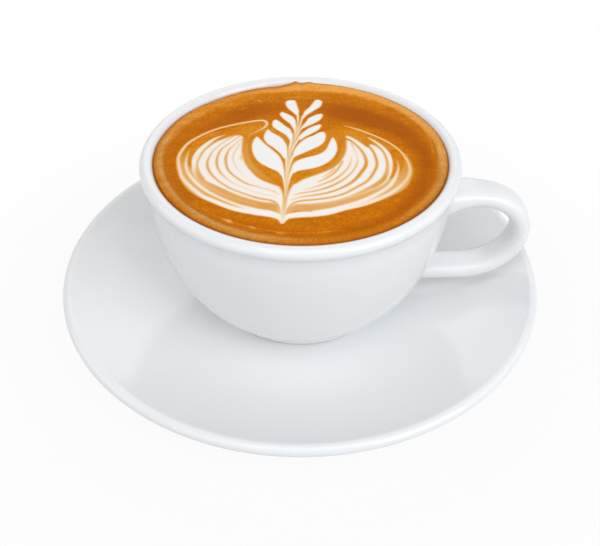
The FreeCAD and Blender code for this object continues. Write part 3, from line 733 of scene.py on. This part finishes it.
bubbles = bpy.data.objects.new("rim_bubbles", foam_mesh)
bpy.context.scene.collection.objects.link(bubbles)
scatter = bubbles.modifiers.new("bubbles", "NODES")
scatter.node_group = group
for name, value in (("Density", 6.0e5), ("Smallest", 0.0001), ("Largest", 0.00028), ("Seed", 7)):
    scatter[inputs[name]] = value
evaluated = bubbles.evaluated_get(bpy.context.evaluated_depsgraph_get())
bubble_mesh = bpy.data.meshes.new_from_object(evaluated)
bubble_mesh.name = "rim_bubbles"
bubbles.modifiers.clear()
bubbles.data = bubble_mesh
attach(bubbles, "root")


# ---- Studio ---------------------------------------------------------------------------------
# A pale table with its edge far out of sight, in plain light from all round, with large soft
# lamps at the front, the sides and the back.

WHITE = (1.0, 1.0, 1.0, 1.0)


def looked_at(tree):
    """1 where the eye sees a surface, straight or in a mirror or through glass, and else 0."""
    seen = tree.add("ShaderNodeLightPath", {}, {}, "Is Camera Ray")
    for ray in ("Is Glossy Ray", "Is Transmission Ray"):
        seen = seen.math("MAXIMUM", seen, tree.add("ShaderNodeLightPath", {}, {}, ray))
    return seen


# Near the saucer the table keeps a little of its shadow, and farther off it is plain white.
NEAR_WHITE, NEAR, FAR = 0.92, 0.08, 0.16
shader = Shader("table")
seen = looked_at(shader)
place = shader.place()
reach = shader.add("ShaderNodeVectorMath", {"operation": "LENGTH"}, {0: place}, "Value")
far = reach.step(NEAR, FAR)
plain = shader.add("ShaderNodeBsdfDiffuse", {}, {"Color": (0.75, 0.75, 0.75, 1.0)})
bright = shader.add("ShaderNodeEmission", {}, {"Color": WHITE, "Strength": 1.0})
white_share = seen * (NEAR_WHITE + (1.0 - NEAR_WHITE) * far)
table_material = shader.finish(
    shader.add("ShaderNodeMixShader", {}, {0: white_share, 1: plain, 2: bright}))
TABLE_RADIUS = 4.0
table_mesh = bpy.data.meshes.new("table")
shape = bmesh.new()
bmesh.ops.create_circle(shape, cap_ends=True, segments=96, radius=TABLE_RADIUS)
shape.to_mesh(table_mesh)
shape.free()
table_mesh.materials.append(table_material)
table = bpy.data.objects.new("table", table_mesh)
bpy.context.scene.collection.objects.link(table)

world = bpy.data.worlds.new("studio")
bpy.context.scene.world = world
world.use_nodes = True
sky = Nodes(world.node_tree)
fill = sky.add("ShaderNodeBackground", {}, {"Color": WHITE, "Strength": 0.32})
backdrop = sky.add("ShaderNodeBackground", {}, {"Color": WHITE, "Strength": 1.0})
sky.add("ShaderNodeOutputWorld", {}, {
    "Surface": sky.add("ShaderNodeMixShader", {}, {0: looked_at(sky), 1: fill, 2: backdrop})})

# The lamps: where each stands, its width, its power in watts, and its colour.
LIT_SPOT = (0.0, 0.0, 0.03)
for name, spot, size, power, colour in (
    ("high_front", (0.0, -0.45, 0.9), 0.7, 2.7, (0.95, 0.98, 1.0)),
    ("front_right", (0.7, -0.6, 0.6), 0.7, 4.7, (0.9, 0.95, 1.0)),
    ("front_left", (-0.5, -0.75, 0.6), 0.7, 1.6, (1.0, 0.98, 0.96)),
    ("left", (-0.9, 0.0, 0.5), 0.7, 1.6, (1.0, 0.98, 0.96)),
    ("right", (0.9, 0.0, 0.5), 0.7, 1.0, (1.0, 0.97, 0.92)),
    ("back", (0.0, 0.9, 0.6), 0.8, 1.5, (1.0, 0.98, 0.97)),
):
    lamp_data = bpy.data.lights.new(name, "AREA")
    lamp_data.size = size
    lamp_data.energy = power
    lamp_data.color = colour
    lamp = bpy.data.objects.new(name, lamp_data)
    lamp.location = spot
    to_cup = Vector(LIT_SPOT) - Vector(spot)
    lamp.rotation_euler = to_cup.to_track_quat("-Z", "Y").to_euler()
    lamp.visible_camera = False
    bpy.context.scene.collection.objects.link(lamp)

# The camera looks down on the cup from the drinker's side.
CAMERA_PLACE = (0.0, -0.205454, 0.192071)
LOOKING_DOWN, LEANING = 0.716, 0.006     # radians
camera_data = bpy.data.cameras.new("camera")
camera_data.sensor_width = 36.0
camera_data.lens = 48.3
camera_data.clip_start = 0.01
camera = bpy.data.objects.new("camera", camera_data)
tilt = Matrix.Rotation(math.radians(90) - LOOKING_DOWN, 4, "X")
roll = Matrix.Rotation(LEANING, 4, "Z")
camera.matrix_world = Matrix.Translation(CAMERA_PLACE) @ tilt @ roll
bpy.context.scene.collection.objects.link(camera)
bpy.context.scene.camera = camera
bpy.context.scene.view_settings.view_transform = "Standard"
